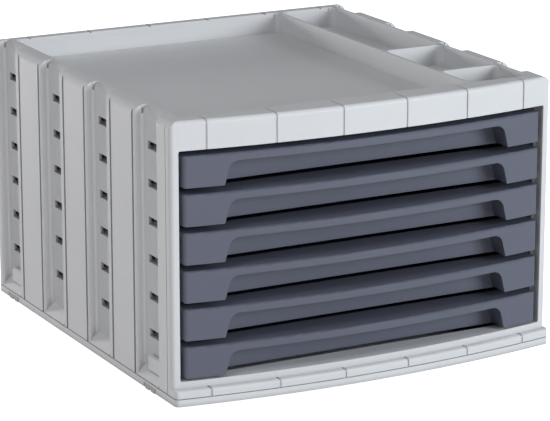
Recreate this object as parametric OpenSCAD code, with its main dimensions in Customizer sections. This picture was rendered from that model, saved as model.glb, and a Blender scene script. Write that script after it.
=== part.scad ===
// Desktop drawer cabinet: a pale moulded case with a desk tray on top and six drawers.
// X is the width, -Y the front, +Z up. The origin is the centre of the footprint, on the desk.
// Inside the modules Y counts from the chord plane that joins the two front edges of the case.

/* [Case] */
// Width of the case
case_w = 340; // [320:1:360]
// Depth of the case behind the chord plane
case_d = 346; // [320:1:370]
// How far the front bows out in the middle
bow = 14.6; // [10:0.2:18]
// Wall of the case panels
wall = 2.5; // [2:0.1:3]
// Radius of the upright outer corners
corner_r = 4; // [2:0.5:6]
// Width of the rim around the desk tray
rim_w = 14.5; // [14:0.5:18]
// Thickness of the rim
rim_t = 4; // [3:0.5:5]
// Clearance between drawers and case where they slide
slide_gap = 0.3; // [0.2:0.05:0.5]

/* [Front frame] */
// Width of the two upright jambs
jamb_w = 6.5; // [5:0.5:8]
// Depth of the frame behind the chord plane
frame_d = 8; // [7:0.5:9]
// Height of the band above the drawers
band_h = 23.3; // [22:0.1:28]
// Height of the sill below the drawers, from the desk
sill_top = 18.8; // [17.5:0.1:21]
// How far the skirt at the foot stands proud of the front
skirt_out = 6.4; // [3:0.2:8]
// Height of the skirt above the base plate
skirt_h = 6.3; // [4:0.1:8]
// Rounding of the skirt's upper edge
skirt_round = 2.4; // [1:0.1:3]
// Rounding of the band's upper edge
band_round = 3.4; // [2:0.1:4]
// Corner radius of the drawer opening
opening_r = 1.6; // [1:0.1:3]
// Number of panels that the grooves divide the front into
panel_count = 6; // [4:1:7]
// Width of the grooves in the front and rims
groove_w = 1.8; // [1.2:0.1:2.4]
// Depth of the grooves in the front and rims
groove_deep = 0.8; // [0.5:0.1:1]

/* [Side walls] */
// Number of recesses along each side
recess_count = 4; // [3:1:4]
// Depth of the recesses
recess_deep = 7; // [5:0.5:8]
// Length of a recess
recess_w = 38; // [34:1:42]
// Post between the front frame and the first recess
front_post = 16.4; // [14:0.2:18]
// Post behind the last recess
back_post = 10; // [9:0.5:12]
// Radius of the rim where it rolls over the pilasters
pilaster_roll = 7.5; // [6:0.5:7.5]
// Radius of the rim where it rolls over the recesses
recess_roll = 6.5; // [5:0.5:6.5]
// Radius at the bottom corners of a recess
recess_fillet = 2.5; // [1:0.5:4]
// Rounding of the pilasters' edges
pilaster_round = 1.6; // [0.8:0.2:2]
// Width of the flutes down the pilasters
flute_w = 3; // [2:0.2:3.6]
// Depth of the flutes
flute_deep = 1.2; // [0.6:0.1:1.5]
// Flute's middle from the front edge of its pilaster
flute_front = 4.4; // [4:0.2:6]
// Flute's middle from the back edge of its pilaster
flute_back = 8; // [7:0.2:10]
// Height of the sloping sill at the foot of a recess
recess_sill = 10; // [6:0.5:12]
// Length of the windows in the recesses
window_w = 20; // [14:1:24]
// Height of the windows in the recesses
window_h = 6.4; // [5:0.2:7]
// Width of the shadow gaps where the case panels meet
joint_w = 0.7; // [0.5:0.1:1.6]
// Depth of the shadow gaps
joint_deep = 0.8; // [0.5:0.1:1.2]

/* [Base] */
// Height of the base plate's edge
base_edge_h = 6.4; // [6:0.2:8]
// Thickness of the base plate's deck
base_deck_t = 2.4; // [2:0.1:3]
// Thickness of the ribs under the base plate
base_rib_t = 2; // [1.5:0.1:3]
// Number of lengthwise ribs under the base plate
base_rib_count = 7; // [5:1:9]
// How far the feet stand out below the base plate
foot_out = 0.8; // [0.5:0.1:1.5]
// Middle of a foot behind the front edge of its recess
foot_y = 16; // [14:0.5:20]
// Length of a foot over both of its lobes
foot_l = 20; // [16:1:22]
// Gap between the lobes of a foot, and beside them in the notch
foot_gap = 1; // [0.8:0.1:1.4]
// Width of a foot
foot_w = 14; // [12:1:18]
// Rounding of the lobes' lower edges
foot_round = 2.6; // [1:0.1:2.8]
// Depth of the notch of a foot in the base plate
foot_seat = 4; // [3:0.1:4]

/* [Stacking clips] */
// Length of a clip
clip_l = 22; // [16:1:24]
// Height of a clip
clip_h = 11.4; // [9:0.2:13]
// How far a clip stands out of its recess
clip_t = 4; // [3:0.2:4.8]
// Bottom of the clips above the base plate
clip_z = 8; // [7:0.2:12]
// Height of the tongue that holds a clip
tongue_h = 4; // [3:0.2:6]

/* [Desk tray] */
// Depth of the compartments below the rim
desk_deep = 18; // [14:0.5:18]
// Thickness of the desk tray's floor
desk_floor_t = 2.4; // [2:0.1:2.6]
// Thickness of the desk tray's outer walls
desk_wall = 2; // [1.6:0.1:2]
// Width of the pen compartments
pen_w = 54; // [44:1:70]
// Thickness of the divider and the cross walls
divider_t = 3; // [2:0.2:4]
// Length of the front pen compartment
pen_front_l = 47; // [40:1:60]
// Length of the middle pen compartment
pen_mid_l = 86.5; // [70:0.5:110]
// Corner radius of the pen compartments
pen_corner_r = 6; // [3:0.5:8]
// Corner radius of the paper compartment
paper_corner_r = 4; // [2:0.5:8]

/* [Drawers] */
// Distance from one drawer to the next
drawer_pitch = 30.3; // [29.8:0.1:33]
// Height of a drawer
drawer_h = 25; // [24:0.1:25]
// Gap beside the drawer fronts
front_gap = 3.7; // [3.2:0.1:4.5]
// Gap under the lowest drawer
bottom_gap = 2; // [1.5:0.1:4]
// Gap over the top drawer
top_gap = 4.4; // [4:0.1:8]
// Wall of the drawer fronts
front_t = 2.5; // [2:0.1:3]
// Rounding of the upright ends of the drawer fronts
front_end_r = 4; // [2:0.5:5]
// Rounding of the upper edge of the drawer fronts
front_edge_r = 1.6; // [0.8:0.1:1.8]
// Corner radius of the drawer fronts, seen from the front
front_corner_r = 1.4; // [1:0.1:3]
// Face of the drawer's wall behind the grip, from the chord plane
grip_back = 12; // [10:0.5:14]
// How far the drawer front's top reaches in over the tray
top_lip = 3.5; // [2.5:0.5:4]
// Distance from the end of the opening to the foot of the grip cut-out
grip_margin = 36.5; // [30:0.5:45]
// Height of the grip cut-out
grip_h = 18.8; // [16:0.2:19.5]
// Slant of the grip's sides, in degrees from upright
grip_slant = 15; // [8:1:20]
// Radius of the grip's upper corners
grip_r = 9; // [6:0.5:12]
// Wall of the drawer trays
tray_t = 2; // [1.8:0.1:2.4]
// How far the drawer trays hang below their fronts
tray_drop = 0.8; // [0.4:0.1:1]
// Radius of the drawer trays' rear corners
tray_corner_r = 6; // [4:0.5:10]
// Gap behind the drawer trays
tray_back_gap = 9.5; // [8:0.5:14]
// Length of the front's snap tabs behind the tray's front wall
snap_out = 3; // [2.5:0.1:4]

/* [Runners] */
// How far the runners stand in from the side walls
runner_w = 7; // [5.5:0.1:8]
// Thickness of the runners
runner_t = 2; // [1.6:0.1:2.2]
// Clearance beside the drawer trays at the runners
tray_gap = 1.5; // [1:0.1:2.5]
// Clearance beside the drawers' flanges
flange_gap = 2; // [1.5:0.1:3]
// Clearance over the drawers' flanges
flange_play = 0.6; // [0.4:0.1:0.9]
// Drop from a drawer's top to its rim and flange
rim_drop = 1; // [1:0.1:1.5]
// Front end of the runners from the chord plane
runner_y = 19; // [18.5:0.5:22]
// Gap behind the runners
runner_back_gap = 6; // [4:0.5:12]
// Place of the drawer stops from the chord plane
stop_y = 66; // [50:1:100]
// Length of a drawer stop
stop_l = 6; // [4:0.5:8]
// How far a stop reaches in past its runner
stop_w = 6.5; // [6:0.5:9]
// Height of the lug that meets the stop
lug_h = 3; // [2.6:0.1:3.2]
// Width of the lug that meets the stop
lug_w = 7; // [5:0.5:9]

/* [Hidden] */

drawer_count = 6;
case_color = [0.80, 0.82, 0.84];
drawer_color = [0.40, 0.42, 0.47];
foot_color = [0.45, 0.45, 0.45];
clip_color = [0.62, 0.62, 0.64];
$fn = 48;
bow_fn = 360;
cut = 1;
clip_play = 0.1;
frame_skin = wall + 1;
rim_step = 0.4;
clip_round = 1.5;
foot_web = 1.4;
back_field = 0.8;

// The front follows one upright cylinder: its radius, and its axis behind the chord plane.
bow_r = (pow(case_w / 2, 2) + pow(bow, 2)) / (2 * bow);
bow_axis = bow_r - bow;
mid_y = (case_d - bow - skirt_out) / 2;

// Levels of the case
base_top = foot_out + base_edge_h;
drawer_z = sill_top + bottom_gap;
opening_top = drawer_z + (drawer_count - 1) * drawer_pitch + drawer_h + top_gap;
case_h = opening_top + band_h;
rim_z = case_h - rim_t;
desk_z = case_h - desk_deep;
desk_bottom = desk_z - desk_floor_t;

// Planes along X, all from the middle
half_w = case_w / 2;
inner_x = half_w - recess_deep - wall;
rim_x = half_w - rim_w;
opening_x = half_w - jamb_w;
front_x = opening_x - front_gap;
runner_x = inner_x - runner_w;
tray_x = runner_x - tray_gap;
flange_x = inner_x - flange_gap;

// Side wall pattern along Y
first_recess = frame_d + front_post;
recess_pitch = (case_d - first_recess - back_post - recess_w) / (recess_count - 1);
recess_ys = [for (i = [0 : recess_count - 1]) first_recess + i * recess_pitch];
post_starts = concat([frame_d], [for (y = recess_ys) y + recess_w]);
post_ends = concat(recess_ys, [case_d]);

// Drawers
tray_front = grip_back + tray_t;
plate_end = tray_front + top_lip;
tray_end = case_d - wall - tray_back_gap;
rim_top = drawer_h - rim_drop;
flange_t = runner_t;
plate_z = rim_top - flange_t + rim_drop;
runner_low = rim_top - flange_t - slide_gap;
runner_high = rim_top + flange_play;
window_z = (runner_low + runner_high) / 2;
lug_x = tray_x - lug_w - tray_t;
grooves_x = [for (i = [0 : panel_count - 1]) (i + 0.5) * case_w / panel_count - half_w];

function drawer_level(n) = drawer_z + (drawer_count - n) * drawer_pitch;
function bow_y(x, out) = bow_axis - sqrt(pow(bow_r + out, 2) - pow(x, 2));

// Moves the chord-plane frame so that the footprint is centred on the origin.
module placed() {
    translate([0, -mid_y, 0]) children();
}

// A profile drawn as (x, z), pushed along Y from y0 to y1.
module along_y(y0, y1) {
    translate([0, y1, 0]) rotate([90, 0, 0]) linear_extrude(y1 - y0) children();
}

// A profile drawn as (y, z), pushed along X from x0 to x1.
module along_x(x0, x1) {
    translate([x0, 0, 0]) rotate([90, 0, 90]) linear_extrude(x1 - x0) children();
}

// The waste outside a rounded edge: its corner at the origin, its arc's centre at (r, r).
module edge_waste(r) {
    difference() {
        translate([-cut, -cut]) square(r + cut);
        translate([r, r]) circle(r);
    }
}

module rounded_rect(x0, x1, y0, y1, r) {
    translate([x0 + r, y0]) square([x1 - x0 - 2 * r, y1 - y0]);
    translate([x0, y0 + r]) square([x1 - x0, y1 - y0 - 2 * r]);
    for (x = [x0 + r, x1 - r], y = [y0 + r, y1 - r]) translate([x, y]) circle(r);
}

// The plan that bounds a bowed body: straight sides and two round front corners,
// open to the front in the middle, where the bow itself is the limit.
module bow_bounds(x_half, y1, r, out) {
    y0 = bow_y(x_half - r, out);
    middle = x_half - r + r / 8;
    translate([-middle, -bow - skirt_out - cut]) square([2 * middle, bow + skirt_out + cut + y1]);
    translate([-x_half, y0 + r]) square([2 * x_half, y1 - y0 - r]);
    for (x = [-x_half + r, x_half - r]) translate([x, y0 + r]) circle(r);
}

// A body of the bowed front: outer radius grown by out, upper edge rounded by r.
module bowed_solid(out, z0, z1, r) {
    reach = bow_r + out;
    depth = bow + skirt_out + frame_d + grip_back + 20;
    translate([0, bow_axis, 0]) rotate_extrude($fn = bow_fn) {
        translate([reach - depth, z0]) square([depth - r, z1 - z0]);
        translate([reach - depth, z0]) square([depth, z1 - z0 - r]);
        translate([reach - r, z1 - r]) circle(r);
    }
}

// A block behind the bow's cylinder, sunk into it by inset.
module behind_bow(inset, x_half, y1, z0, z1) {
    intersection() {
        translate([0, bow_axis, z0]) cylinder(r = bow_r - inset, h = z1 - z0, $fn = bow_fn);
        translate([-x_half, -bow, z0]) cube([2 * x_half, bow + y1, z1 - z0]);
    }
}

/* ---- base plate ---- */

// The base's outline, shrunk by inset.
module base_outline(inset) {
    r = corner_r - inset;
    intersection() {
        translate([0, bow_axis]) circle(bow_r + skirt_out - inset, $fn = bow_fn);
        bow_bounds(half_w - inset, case_d - inset, r, skirt_out - inset);
        translate([0, case_d / 2]) rounded_rect(-half_w + inset, half_w - inset, -case_d,
            case_d / 2 - inset, r);
    }
}

module foot_places() {
    for (y = [recess_ys[0], recess_ys[recess_count - 1]], m = [0, 1]) {
        mirror([m, 0, 0]) translate([half_w - foot_w / 2, y + foot_y, 0]) children();
    }
}

// The room of a foot in the base, open to the side and below, grown by more elsewhere.
module foot_room(more) {
    length = foot_l + 2 * foot_gap + 2 * more;
    translate([-foot_w / 2 - more, -length / 2, 0])
        cube([foot_w + more + cut, length, foot_out + foot_seat]);
}

// Two lobes side by side, joined by a web at the top of the notch.
module foot_shape() {
    lobe = (foot_l - foot_gap) / 2;
    top = foot_out + foot_seat;
    along_x(-foot_w / 2, foot_w / 2) {
        for (s = [-1, 1]) translate([s * (lobe + foot_gap) / 2, 0]) difference() {
            translate([-lobe / 2, 0]) square([lobe, top]);
            for (m = [0, 1]) mirror([m, 0]) translate([-lobe / 2, 0]) edge_waste(foot_round);
        }
        translate([-foot_l / 2, top - foot_web]) square([foot_l, foot_web]);
    }
}

module base_plate() {
    deck_z = base_top - base_deck_t;
    span = case_d - 2 * wall;
    color(case_color) placed() difference() {
        union() {
            translate([0, 0, foot_out]) linear_extrude(base_edge_h) base_outline(joint_deep);
            translate([0, 0, foot_out]) linear_extrude(base_edge_h - joint_w) base_outline(0);
        }
        difference() {
            translate([0, 0, foot_out - cut]) linear_extrude(deck_z - foot_out + cut)
                base_outline(wall);
            for (i = [1 : base_rib_count]) {
                translate([-half_w + i * case_w / (base_rib_count + 1) - base_rib_t / 2,
                    -bow - skirt_out, 0]) cube([base_rib_t, case_d + bow + skirt_out, base_top]);
            }
            for (i = [0 : base_rib_count]) {
                translate([-half_w, i * span / base_rib_count, 0])
                    cube([case_w, base_rib_t, base_top]);
            }
            foot_places() foot_room(wall);
        }
        foot_places() foot_room(0);
    }
}

module foot(s, back) {
    y = back ? recess_ys[recess_count - 1] : recess_ys[0];
    color(foot_color) placed()
        translate([s * (half_w - foot_w / 2), y + foot_y, 0]) foot_shape();
}

/* ---- side walls, drawn for the left side with x from the outer face inwards ---- */

module recess_outline(y) {
    difference() {
        translate([-cut, y]) square([recess_deep + cut, recess_w]);
        translate([recess_deep, y]) mirror([1, 0]) edge_waste(recess_fillet);
        translate([recess_deep, y + recess_w]) mirror([1, 0]) mirror([0, 1])
            edge_waste(recess_fillet);
    }
    translate([0, y]) mirror([0, 1]) edge_waste(pilaster_round);
    translate([0, y + recess_w]) edge_waste(pilaster_round);
}

module side_outline(width) {
    difference() {
        translate([0, frame_d]) square([width, case_d - frame_d]);
        for (y = recess_ys) recess_outline(y);
        translate([0, case_d]) mirror([0, 1]) edge_waste(corner_r);
    }
}

module side_cavities() {
    top = case_h - pilaster_roll + wall;
    for (i = [0 : recess_count]) {
        y0 = post_starts[i] + wall;
        y1 = post_ends[i] - wall;
        translate([wall, y0, base_top - cut])
            cube([recess_deep + 2 * wall, y1 - y0, top - base_top + cut]);
    }
}

module rolled_edge(x, z, r, y0, y1) {
    along_y(y0, y1) translate([x, z]) mirror([0, 1]) edge_waste(r);
}

module flutes() {
    for (i = [1 : recess_count - 1], at = [post_starts[i] + flute_front, post_ends[i] - flute_back]) {
        translate([-cut, at - flute_w / 2, base_top - cut])
            cube([flute_deep + cut, flute_w, case_h]);
    }
}

// The windows, cut on through the roots of the runners.
module windows() {
    for (y = recess_ys, n = [1 : drawer_count]) {
        translate([recess_deep - cut, y + (recess_w - window_w) / 2,
            drawer_level(n) + window_z - window_h / 2])
            cube([wall + flange_gap + cut, window_w, window_h]);
    }
}

module runners() {
    root = recess_deep + wall / 2;
    reach = wall / 2 + runner_w;
    length = case_d - wall - runner_back_gap - runner_y;
    for (n = [1 : drawer_count]) {
        z = drawer_level(n);
        translate([root, runner_y, z + runner_low - runner_t]) cube([reach, length, runner_t]);
        translate([root, runner_y, z + runner_high]) cube([reach, length, runner_t]);
        translate([root, stop_y, z + runner_high]) cube([reach + stop_w, stop_l, runner_t]);
    }
    translate([root, frame_d, desk_bottom - runner_t])
        cube([reach, case_d - wall - frame_d, runner_t]);
}

module recess_sills() {
    for (y = recess_ys) {
        along_y(y - wall / 2, y + recess_w + wall / 2) polygon([[wall / 2, base_top],
            [recess_deep + wall / 2, base_top], [recess_deep + wall / 2, base_top + recess_sill],
            [recess_deep, base_top + recess_sill], [wall / 2, base_top + wall / 2 + 1]]);
        along_y(y, y + recess_w) polygon([[0, base_top], [recess_deep, base_top],
            [recess_deep, base_top + recess_sill], [0, base_top + 1]]);
    }
}

module clip_place(back) {
    y = back ? recess_ys[recess_count - 1] : recess_ys[0];
    translate([recess_deep, y + clip_l / 2 + recess_fillet, base_top + clip_z + clip_h / 2])
        children();
}

module tongue(play) {
    w = clip_l / 3 + 2 * play;
    h = tongue_h + 2 * play;
    translate([-cut, -w / 2, -h / 2]) cube([cut + wall + play, w, h]);
}

module side_shell() {
    difference() {
        union() {
            translate([0, 0, base_top]) linear_extrude(case_h - base_top)
                side_outline(recess_deep + wall);
            translate([0, 0, rim_z]) linear_extrude(rim_t) side_outline(rim_w);
        }
        side_cavities();
        rolled_edge(0, case_h, pilaster_roll, 0, case_d + cut);
        for (y = recess_ys) {
            rolled_edge(recess_deep, case_h, recess_roll, y, y + recess_w);
        }
        along_x(-cut, rim_w + cut) translate([case_d, case_h]) mirror([1, 0]) mirror([0, 1])
            edge_waste(recess_roll);
        flutes();
        windows();
        translate([-cut, frame_d - cut, 0]) cube([joint_deep + cut, joint_w + cut, case_h + cut]);
        for (back = [false, true]) clip_place(back) tongue(clip_play);
    }
    difference() {
        recess_sills();
        for (back = [false, true]) clip_place(back)
            translate([-clip_t, -clip_l / 2, -clip_h / 2]) cube([clip_t, clip_l, clip_h]);
    }
    difference() {
        runners();
        windows();
    }
}

module side_wall(s) {
    color(case_color) placed() {
        if (s < 0) translate([-half_w, 0, 0]) side_shell();
        else mirror([1, 0, 0]) translate([-half_w, 0, 0]) side_shell();
    }
}

// A stacking clip: a flat block on a tongue through the wall.
module clip_solid() {
    rotate([90, 0, 90]) translate([0, 0, -clip_t]) linear_extrude(clip_t)
        rounded_rect(-clip_l / 2, clip_l / 2, -clip_h / 2, clip_h / 2, clip_round);
    tongue(0);
}

module stacking_clip(s, back) {
    color(clip_color) placed() {
        if (s < 0) translate([-half_w, 0, 0]) clip_place(back) clip_solid();
        else mirror([1, 0, 0]) translate([-half_w, 0, 0]) clip_place(back) clip_solid();
    }
}

/* ---- back panel ---- */

module back_panel() {
    color(case_color) placed() difference() {
        union() {
            translate([-inner_x, case_d - wall, base_top]) cube([2 * inner_x, wall, rim_z - base_top]);
            translate([-rim_x, case_d - rim_w, rim_z]) cube([2 * rim_x, rim_w, rim_t]);
            for (i = [1 : panel_count - 1]) {
                translate([i * case_w / panel_count - half_w - base_rib_t / 2,
                    case_d - 2 * wall, base_top]) cube([base_rib_t, 2 * wall, rim_z - base_top + cut]);
            }
        }
        along_x(-half_w, half_w) translate([case_d, case_h]) mirror([1, 0]) mirror([0, 1])
            edge_waste(recess_roll);
        translate([0, case_d - back_field, 0]) along_y(0, cut)
            rounded_rect(-inner_x + 2 * wall, inner_x - 2 * wall, base_top + recess_sill,
                case_h - band_h, corner_r);
        for (x = grooves_x) {
            translate([x - groove_w / 2, case_d - rim_w - cut, case_h - groove_deep])
                cube([groove_w, rim_w + 2 * cut, cut + groove_deep]);
        }
    }
}

/* ---- front frame ---- */

// The band and jambs, or with inset the same surface sunk into them.
module frame_body(inset) {
    intersection() {
        bowed_solid(-inset, base_top, case_h - inset, band_round - inset);
        translate([0, 0, base_top - cut]) linear_extrude(case_h)
            bow_bounds(half_w, frame_d, corner_r, 0);
    }
}

module skirt(inset) {
    intersection() {
        bowed_solid(skirt_out - inset, base_top, base_top + skirt_h - inset, skirt_round - inset);
        translate([0, 0, base_top - cut]) linear_extrude(case_h)
            bow_bounds(half_w, frame_d, corner_r, skirt_out);
    }
}

module band_hollow() {
    difference() {
        behind_bow(frame_skin, half_w - jamb_w, frame_d + cut, opening_top + wall, rim_z);
        for (x = grooves_x) {
            translate([x - base_rib_t / 2, -bow, opening_top]) cube([base_rib_t, bow + frame_d, band_h]);
        }
    }
}

module sill_hollow() {
    difference() {
        behind_bow(frame_skin, half_w - jamb_w, frame_d - wall, base_top - cut, sill_top - wall);
        for (x = grooves_x) {
            translate([x - base_rib_t / 2, -bow, 0]) cube([base_rib_t, bow + frame_d, sill_top]);
        }
    }
}

module front_grooves() {
    for (x = grooves_x) {
        difference() {
            translate([x - groove_w / 2, -bow - cut, opening_top - cut])
                cube([groove_w, bow + frame_d + rim_w, band_h + 2 * cut]);
            frame_body(groove_deep);
            translate([x - groove_w, frame_d - cut, 0])
                cube([2 * groove_w, 2 * rim_w, case_h - groove_deep]);
        }
        difference() {
            translate([x - groove_w / 2, -bow - skirt_out - cut, base_top - cut])
                cube([groove_w, bow + skirt_out, skirt_h + cut]);
            skirt(groove_deep);
            frame_body(groove_deep);
            translate([x - groove_w, -bow - skirt_out - 2 * cut, 0])
                cube([2 * groove_w, bow + skirt_out, base_top]);
        }
    }
}

module front_frame() {
    color(case_color) placed() difference() {
        union() {
            frame_body(0);
            skirt(0);
            translate([-rim_x, frame_d - cut, rim_z]) cube([2 * rim_x, desk_wall + cut, rim_t]);
        }
        along_y(-bow - skirt_out - cut, frame_d + cut)
            rounded_rect(-opening_x, opening_x, sill_top, opening_top, opening_r);
        for (m = [0, 1]) mirror([m, 0, 0]) translate([-half_w, 0, 0])
            rolled_edge(0, case_h, pilaster_roll, -bow - skirt_out - cut, frame_d + cut);
        band_hollow();
        sill_hollow();
        front_grooves();
    }
}

/* ---- desk tray ---- */

desk_front = frame_d + desk_wall;
desk_back = case_d - rim_w;
pen_x = rim_x - pen_w;
pen_mid_y = desk_front + pen_front_l + divider_t;
pen_back_y = pen_mid_y + pen_mid_l + divider_t;

module desk_pockets() {
    rounded_rect(-rim_x, pen_x - divider_t, desk_front, desk_back, paper_corner_r);
    rounded_rect(pen_x, rim_x, desk_front, desk_front + pen_front_l, pen_corner_r);
    rounded_rect(pen_x, rim_x, pen_mid_y, pen_mid_y + pen_mid_l, pen_corner_r);
    rounded_rect(pen_x, rim_x, pen_back_y, desk_back, pen_corner_r);
}

module desk_tray() {
    color(case_color) placed() {
        difference() {
            translate([-rim_x - desk_wall, frame_d, desk_bottom])
                cube([2 * (rim_x + desk_wall), desk_back - frame_d + desk_wall, rim_z - desk_bottom]);
            translate([0, 0, desk_z]) linear_extrude(desk_deep) desk_pockets();
        }
        translate([0, 0, rim_z]) linear_extrude(rim_t - rim_step) difference() {
            translate([-rim_x, desk_front]) square([2 * rim_x, desk_back - desk_front]);
            desk_pockets();
        }
    }
}

/* ---- drawers ---- */

// Outline of the grip cut-out, seen from the front with z from the drawer's bottom.
module grip_outline() {
    foot_x = opening_x - grip_margin;
    along = (grip_h - grip_r + grip_r * sin(grip_slant)) / cos(grip_slant);
    side_x = foot_x - along * sin(grip_slant);
    side_z = along * cos(grip_slant);
    arc_x = side_x - grip_r * cos(grip_slant);
    polygon([[-foot_x - cut * tan(grip_slant), -cut], [foot_x + cut * tan(grip_slant), -cut],
        [side_x, side_z], [arc_x, grip_h], [-arc_x, grip_h], [-side_x, side_z]]);
    for (x = [-arc_x, arc_x]) translate([x, grip_h - grip_r]) circle(grip_r);
}

// The cheek that closes the front's hollow end beside the grip.
module grip_cheek() {
    foot_x = opening_x - grip_margin;
    top_x = foot_x - plate_z * tan(grip_slant);
    polygon([[foot_x, 0], [foot_x + front_t, 0], [top_x + front_t, plate_z], [top_x, plate_z]]);
}

module snap_tabs(play) {
    w = tray_gap + 1.5;
    for (s = [-1, 1]) {
        x = tray_x + (flange_x - tray_x) / 2;
        translate([s * x - w / 2 - play, -cut, drawer_h / 4 - play])
            cube([w + 2 * play, tray_front + snap_out + cut, drawer_h / 3 + 2 * play]);
    }
}

module front_solid() {
    intersection() {
        bowed_solid(0, 0, drawer_h, front_edge_r);
        translate([0, 0, -cut]) linear_extrude(drawer_h + 2 * cut)
            bow_bounds(front_x, plate_end, front_end_r, 0);
        along_y(-bow - cut, plate_end + cut)
            rounded_rect(-front_x, front_x, 0, drawer_h, front_corner_r);
    }
}

module drawer_front(n) {
    color(drawer_color) placed() translate([0, 0, drawer_level(n)]) {
        difference() {
            front_solid();
            behind_bow(front_t, front_x - front_t, tray_front, -cut, plate_z);
            translate([-front_x - cut, grip_back, -cut])
                cube([2 * (front_x + cut), plate_end, plate_z + cut]);
            along_y(-bow - cut, 0) grip_outline();
        }
        intersection() {
            along_y(-bow, grip_back) union() {
                grip_cheek();
                mirror([1, 0]) grip_cheek();
            }
            behind_bow(front_t / 2, front_x, grip_back, 0, plate_z);
        }
        intersection() {
            snap_tabs(0);
            behind_bow(front_t / 2, front_x, tray_front + snap_out, 0, plate_z);
        }
    }
}

module tray_plan(inset) {
    x = tray_x - inset;
    r = tray_corner_r - inset;
    y0 = grip_back + inset;
    y1 = tray_end - inset;
    translate([-x, y0]) square([2 * x, y1 - y0 - r]);
    translate([-x + r, y0]) square([2 * (x - r), y1 - y0]);
    for (s = [-1, 1]) translate([s * (x - r), y1 - r]) circle(r);
}

module drawer_tray(n) {
    color(drawer_color) placed() translate([0, 0, drawer_level(n)]) difference() {
        union() {
            translate([0, 0, -tray_drop]) linear_extrude(rim_top + tray_drop) tray_plan(0);
            translate([-flange_x, grip_back, -tray_drop])
                cube([2 * flange_x, tray_t, rim_top + tray_drop]);
            translate([-flange_x, tray_front, rim_top - flange_t])
                cube([2 * flange_x, tray_end - tray_front - tray_corner_r, flange_t]);
            for (s = [-1, 1]) {
                translate([s * (lug_x + lug_w / 2) - lug_w / 2, tray_end - tray_t, rim_top - cut])
                    cube([lug_w, tray_t, lug_h + cut]);
            }
        }
        translate([0, 0, tray_t - tray_drop]) linear_extrude(drawer_h) tray_plan(tray_t);
        translate([-front_x, grip_back - cut, plate_z])
            cube([2 * front_x, tray_t + top_lip + cut, drawer_h]);
        snap_tabs(0.1);
    }
}

base_plate();
side_wall(-1);  // side_wall_left
side_wall(1);  // side_wall_right
back_panel();
front_frame();
desk_tray();
stacking_clip(-1, false);  // stacking_clip_front_left
stacking_clip(1, false);  // stacking_clip_front_right
stacking_clip(-1, true);  // stacking_clip_back_left
stacking_clip(1, true);  // stacking_clip_back_right
foot(-1, false);  // foot_front_left
foot(1, false);  // foot_front_right
foot(-1, true);  // foot_back_left
foot(1, true);  // foot_back_right
drawer_tray(1);  // drawer_1_tray
drawer_front(1);  // drawer_1_front
drawer_tray(2);  // drawer_2_tray
drawer_front(2);  // drawer_2_front
drawer_tray(3);  // drawer_3_tray
drawer_front(3);  // drawer_3_front
drawer_tray(4);  // drawer_4_tray
drawer_front(4);  // drawer_4_front
drawer_tray(5);  // drawer_5_tray
drawer_front(5);  // drawer_5_front
drawer_tray(6);  // drawer_6_tray
drawer_front(6);  // drawer_6_front
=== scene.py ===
import math

import bpy
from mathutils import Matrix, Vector

# Lengths are in metres, angles in radians and lamps in watts, unless a name says otherwise.

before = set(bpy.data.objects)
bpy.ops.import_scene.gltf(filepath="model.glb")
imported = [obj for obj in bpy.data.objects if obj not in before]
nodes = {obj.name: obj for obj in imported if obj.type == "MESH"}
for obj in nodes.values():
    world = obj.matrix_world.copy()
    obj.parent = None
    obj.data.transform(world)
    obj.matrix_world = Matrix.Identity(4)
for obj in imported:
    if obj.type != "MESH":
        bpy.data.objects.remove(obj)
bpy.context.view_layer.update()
scene = bpy.context.scene


# ---------- camera: the photograph's viewpoint, found by fitting the case's corners ----------

PHOTO_WIDTH_PX = 550.0
FOCAL_LENGTH_PX = 2791.3
SENSOR_WIDTH_MM = 36.0
CAMERA_PLACE = (-1.0536, -1.9955, 0.7148)
CAMERA_TILT_DOWN = 0.268
CAMERA_TURN_RIGHT = 0.488
NEAR_CLIP = 0.05
FAR_CLIP = 50.0


def make_camera():
    data = bpy.data.cameras.new("camera")
    cam = bpy.data.objects.new("camera", data)
    scene.collection.objects.link(cam)
    data.sensor_fit = "HORIZONTAL"
    data.sensor_width = SENSOR_WIDTH_MM
    data.lens = FOCAL_LENGTH_PX / PHOTO_WIDTH_PX * SENSOR_WIDTH_MM
    data.clip_start = NEAR_CLIP
    data.clip_end = FAR_CLIP
    cam.location = CAMERA_PLACE
    cam.rotation_euler = (math.pi / 2 - CAMERA_TILT_DOWN, 0.0, -CAMERA_TURN_RIGHT)
    scene.camera = cam


make_camera()
scene.view_settings.view_transform = "Standard"


# ---------- small helpers for node trees ----------

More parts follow.
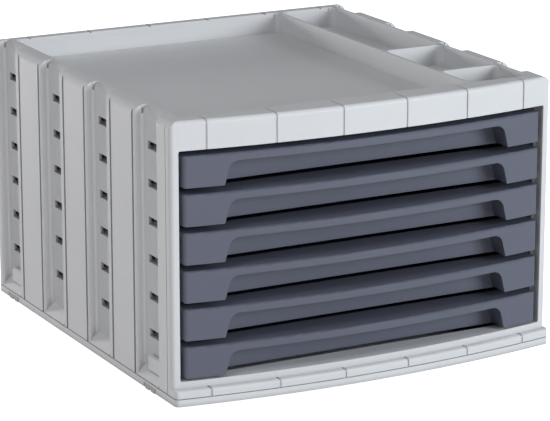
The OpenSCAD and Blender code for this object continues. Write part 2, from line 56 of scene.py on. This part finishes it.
class Tree:
    """The emptied node tree of a material or world, with short ways to fill it."""

    def __init__(self, owner):
        owner.use_nodes = True
        self.t = owner.node_tree
        self.t.nodes.clear()

    def node(self, kind, **settings):
        n = self.t.nodes.new(kind)
        for key, value in settings.items():
            setattr(n, key, value)
        return n

    def link(self, a, b):
        self.t.links.new(a, b)

    def noise(self, coords, scale, detail, rough):
        n = self.node("ShaderNodeTexNoise")
        n.inputs["Scale"].default_value = scale
        n.inputs["Detail"].default_value = detail
        n.inputs["Roughness"].default_value = rough
        self.link(coords, n.inputs["Vector"])
        return n.outputs["Fac"]

    def ramp(self, value, lo, hi, out_lo, out_hi):
        n = self.node("ShaderNodeMapRange")
        n.inputs["From Min"].default_value = lo
        n.inputs["From Max"].default_value = hi
        n.inputs["To Min"].default_value = out_lo
        n.inputs["To Max"].default_value = out_hi
        self.link(value, n.inputs["Value"])
        return n.outputs["Result"]

    def times(self, a, b):
        """The product of two values, of which the second may be a plain number."""
        n = self.node("ShaderNodeMath", operation="MULTIPLY")
        self.link(a, n.inputs[0])
        if isinstance(b, float):
            n.inputs[1].default_value = b
        else:
            self.link(b, n.inputs[1])
        return n.outputs[0]

    def mix(self, fac, a, b):
        """From colour a at 0 to colour b at 1; each is a plain colour or a node's output."""
        n = self.node("ShaderNodeMix", data_type="RGBA")
        self.link(fac, n.inputs["Factor"])
        for socket, v in ((n.inputs["A"], a), (n.inputs["B"], b)):
            if isinstance(v, tuple):
                socket.default_value = (*v, 1.0)
            else:
                self.link(v, socket)
        return n.outputs["Result"]

    def choose(self, fac, shader_at_0, shader_at_1, out):
        """Send one shader or the other to the tree's output."""
        n = self.node("ShaderNodeMixShader")
        self.link(fac, n.inputs[0])
        self.link(shader_at_0.outputs[0], n.inputs[1])
        self.link(shader_at_1.outputs[0], n.inputs[2])
        self.link(n.outputs[0], out.inputs["Surface"])


def srgb(r, g, b):
    """An 8-bit display colour as linear values."""
    out = []
    for v in (r, g, b):
        c = v / 255.0
        out.append(c / 12.92 if c <= 0.04045 else ((c + 0.055) / 1.055) ** 2.4)
    return tuple(out)


def shaded(colour, share):
    """The same hue at a share of its brightness."""
    return tuple(c * share for c in colour)


# ---------- moulded plastic ----------

# A noise's scale is in cells per metre, followed by its detail and roughness.
CLOUD_NOISE = (9.0, 4.0, 0.6)
RUB_NOISE = (120.0, 5.0, 0.6)
GLOSS_NOISE = (35.0, 4.0, 0.65)
GRAIN_NOISE = (1500.0, 2.0, 0.5)
NOISE_LOW = 0.3
NOISE_HIGH = 0.7

CLOUD_SHADE = 0.965

# Lighter edges: wear, and on the drawers a painted highlight as well.
EDGE_RADIUS = 0.0004
EDGE_SAMPLES = 6
FACING_FLAT = 0.97
FACING_EDGE = 0.80
RUB_LOW = 0.35
RUB_HIGH = 0.65
LEAST_RUB = 0.3

# Painted shade in nooks: how far the occlusion reaches, where the darkening starts and ends, and how
# dark it paints.
NOOK_REACH = 0.008
NOOK_SAMPLES = 16
NOOK_OPEN = 0.8
NOOK_DEEP = 0.2
NOOK_SHADE = 0.12

GLOSSIER = 0.05
DULLER = 0.07
GRAIN_DEPTH = 0.0004


def clouded(t, coords, colour):
    """Faint clouds in the colour, as the melt leaves them."""
    cloud = t.noise(coords, *CLOUD_NOISE)
    cloud = t.ramp(cloud, NOISE_LOW, NOISE_HIGH, 0.0, 1.0)
    return t.mix(cloud, shaded(colour, CLOUD_SHADE), colour)


def worn_and_highlit_edges(t, coords, soft, base, worn_and_highlit, edge_brightening):
    """Edges are lighter, in patches: rubbed wear, and on the drawers also a painted highlight along
    the edges.
    """
    geo = t.node("ShaderNodeNewGeometry")
    facing = t.node("ShaderNodeVectorMath", operation="DOT_PRODUCT")
    t.link(soft.outputs[0], facing.inputs[0])
    t.link(geo.outputs["Normal"], facing.inputs[1])
    edge = t.ramp(facing.outputs["Value"], FACING_FLAT, FACING_EDGE, 0.0, 1.0)
    rub = t.ramp(t.noise(coords, *RUB_NOISE), RUB_LOW, RUB_HIGH, LEAST_RUB, 1.0)
    return t.mix(t.times(t.times(edge, rub), edge_brightening), base, worn_and_highlit)


def painted_nook_shade(t, base, colour, painted_shade):
    """Painted shade in grooves, joints and narrow gaps: ambient occlusion darkens the colour there.
    """
    nook = t.node("ShaderNodeAmbientOcclusion", samples=NOOK_SAMPLES)
    nook.inputs["Distance"].default_value = NOOK_REACH
    shade = t.ramp(nook.outputs["AO"], NOOK_OPEN, NOOK_DEEP, 0.0, painted_shade)
    return t.mix(shade, base, shaded(colour, NOOK_SHADE))


def plastic(name, colour, worn_and_highlit, rough, grain=0.06, edge_brightening=0.2, specular=0.5, painted_shade=0.0):
    """Moulded plastic: clouded colour, lighter edges of wear and painted highlight, painted shade in
    nooks, patchy gloss and fine grain.
    """
    mat = bpy.data.materials.new(name)
    t = Tree(mat)
    out = t.node("ShaderNodeOutputMaterial")
    bsdf = t.node("ShaderNodeBsdfPrincipled")
    t.link(bsdf.outputs[0], out.inputs["Surface"])
    coords = t.node("ShaderNodeTexCoord").outputs["Object"]
    soft = t.node("ShaderNodeBevel", samples=EDGE_SAMPLES)
    soft.inputs["Radius"].default_value = EDGE_RADIUS

    base = clouded(t, coords, colour)
    base = worn_and_highlit_edges(t, coords, soft, base, worn_and_highlit, edge_brightening)
    # Painted shade in grooves, joints and narrow gaps.
    if painted_shade > 0.0:
        base = painted_nook_shade(t, base, colour, painted_shade)
    t.link(base, bsdf.inputs["Base Color"])

    gloss = t.noise(coords, *GLOSS_NOISE)
    gloss = t.ramp(gloss, NOISE_LOW, NOISE_HIGH, rough - GLOSSIER, rough + DULLER)
    t.link(gloss, bsdf.inputs["Roughness"])
    bsdf.inputs["Specular IOR Level"].default_value = specular

    bump = t.node("ShaderNodeBump")
    bump.inputs["Strength"].default_value = grain
    bump.inputs["Distance"].default_value = GRAIN_DEPTH
    t.link(t.noise(coords, *GRAIN_NOISE), bump.inputs["Height"])
    t.link(soft.outputs[0], bump.inputs["Normal"])
    t.link(bump.outputs[0], bsdf.inputs["Normal"])
    return mat


CASE_GREY = srgb(206, 207, 210)
CASE_WORN = srgb(228, 230, 234)
DRAWER_GREY = srgb(92, 95, 109)
# The drawers' edge colour is wear and a painted highlight along the top edges of the fronts.
DRAWER_WORN_AND_HIGHLIT = srgb(140, 144, 158)
CLIP_GREY = srgb(204, 206, 210)
CLIP_WORN = srgb(225, 227, 230)
FOOT_GREY = srgb(172, 173, 174)
FOOT_WORN = srgb(186, 186, 186)

# For the case, the front frame and the desk tray, shade is painted into grooves, joints and narrow
# gaps.
case_mat = plastic("case_moulded", CASE_GREY, CASE_WORN, 0.42, painted_shade=0.85)
front_mat = plastic("front_moulded", CASE_GREY, CASE_WORN, 0.38, painted_shade=0.3)
tray_mat = plastic("desk_tray_moulded", CASE_GREY, CASE_WORN, 0.45, painted_shade=0.2)
drawer_mat = plastic("drawer_moulded", DRAWER_GREY, DRAWER_WORN_AND_HIGHLIT, 0.34, grain=0.04, edge_brightening=0.35)
clip_mat = plastic("clip_moulded", CLIP_GREY, CLIP_WORN, 0.45)
foot_mat = plastic("foot_rubber", FOOT_GREY, FOOT_WORN, 0.7, grain=0.12, specular=0.3)

# The start of a node's name decides on its material; every other node is a part of the case.
MATERIAL_OF = {"drawer": drawer_mat, "stacking_clip": clip_mat, "foot": foot_mat,
               "front_frame": front_mat, "desk_tray": tray_mat}

for name, obj in nodes.items():
    mat = next((m for start, m in MATERIAL_OF.items() if name.startswith(start)), case_mat)
    for slot in obj.material_slots:
        slot.material = mat


# ---------- floor and world ----------

WHITE = (1.0, 1.0, 1.0, 1.0)

FLOOR_HALF = 6.0
FLOOR_GREY = (0.82, 0.82, 0.82, 1.0)
FLOOR_GLOW = 0.85

SKY_TINT = (0.97, 0.985, 1.0, 1.0)
SKY_STRENGTH = 0.17


def make_floor():
    """To the camera the floor is white with the object's shadow; other rays meet the bare grey."""
    mesh = bpy.data.meshes.new("floor")
    s = FLOOR_HALF
    mesh.from_pydata([(-s, -s, 0), (s, -s, 0), (s, s, 0), (-s, s, 0)], [], [(0, 1, 2, 3)])
    floor = bpy.data.objects.new("floor", mesh)
    scene.collection.objects.link(floor)
    mat = bpy.data.materials.new("floor")
    t = Tree(mat)
    out = t.node("ShaderNodeOutputMaterial")
    grey = t.node("ShaderNodeBsdfDiffuse")
    grey.inputs["Color"].default_value = FLOOR_GREY
    path = t.node("ShaderNodeLightPath")
    glow = t.node("ShaderNodeEmission")
    glow.inputs["Color"].default_value = WHITE
    glow.inputs["Strength"].default_value = FLOOR_GLOW
    lit_grey = t.node("ShaderNodeAddShader")
    t.link(grey.outputs[0], lit_grey.inputs[0])
    t.link(glow.outputs[0], lit_grey.inputs[1])
    t.choose(path.outputs["Is Camera Ray"], grey, lit_grey, out)
    mesh.materials.append(mat)


def make_world():
    """A weak cool sky lights the object, and the camera sees plain white."""
    world = bpy.data.worlds.new("studio")
    scene.world = world
    t = Tree(world)
    out = t.node("ShaderNodeOutputWorld")
    path = t.node("ShaderNodeLightPath")
    sky = t.node("ShaderNodeBackground")
    sky.inputs["Color"].default_value = SKY_TINT
    sky.inputs["Strength"].default_value = SKY_STRENGTH
    white = t.node("ShaderNodeBackground")
    white.inputs["Color"].default_value = WHITE
    white.inputs["Strength"].default_value = 1.0
    t.choose(path.outputs["Is Camera Ray"], sky, white, out)


# ---------- lamps ----------

LAMPS_AIM = (0.0, 0.0, 0.11)
COOL = (0.91, 0.965, 1.0)
WARM = (1.0, 0.985, 0.97)
WARMER = (1.0, 0.985, 0.965)
KEY_PLACE = (1.5, -2.4, 0.9)
KEY_SIZE = (1.4, 1.0)


def softbox(name, place, size, watts, colour, glossy=True):
    """A rectangular lamp turned to the object; without glossy it leaves no shine."""
    data = bpy.data.lights.new(name, "AREA")
    data.shape = "RECTANGLE"
    data.size, data.size_y = size
    data.energy = watts
    data.color = colour
    obj = bpy.data.objects.new(name, data)
    scene.collection.objects.link(obj)
    obj.location = place
    obj.rotation_euler = (Vector(LAMPS_AIM) - Vector(place)).to_track_quat("-Z", "Y").to_euler()
    obj.visible_glossy = glossy


make_floor()
make_world()
# The key light is two lamps in one place, so that only a third of it shines in the plastic.
softbox("key", KEY_PLACE, KEY_SIZE, 43.0, COOL, glossy=False)
softbox("key_shine", KEY_PLACE, KEY_SIZE, 21.0, COOL)
softbox("left_fill", (-1.5, -0.7, 2.0), (1.0, 0.8), 17.0, WARM)
softbox("front_fill", (-0.8, -2.6, 0.5), (0.5, 0.6), 9.0, WARM, glossy=False)
softbox("rear_side", (-0.62, 2.1, 0.38), (0.3, 0.4), 41.0, WARMER, glossy=False)
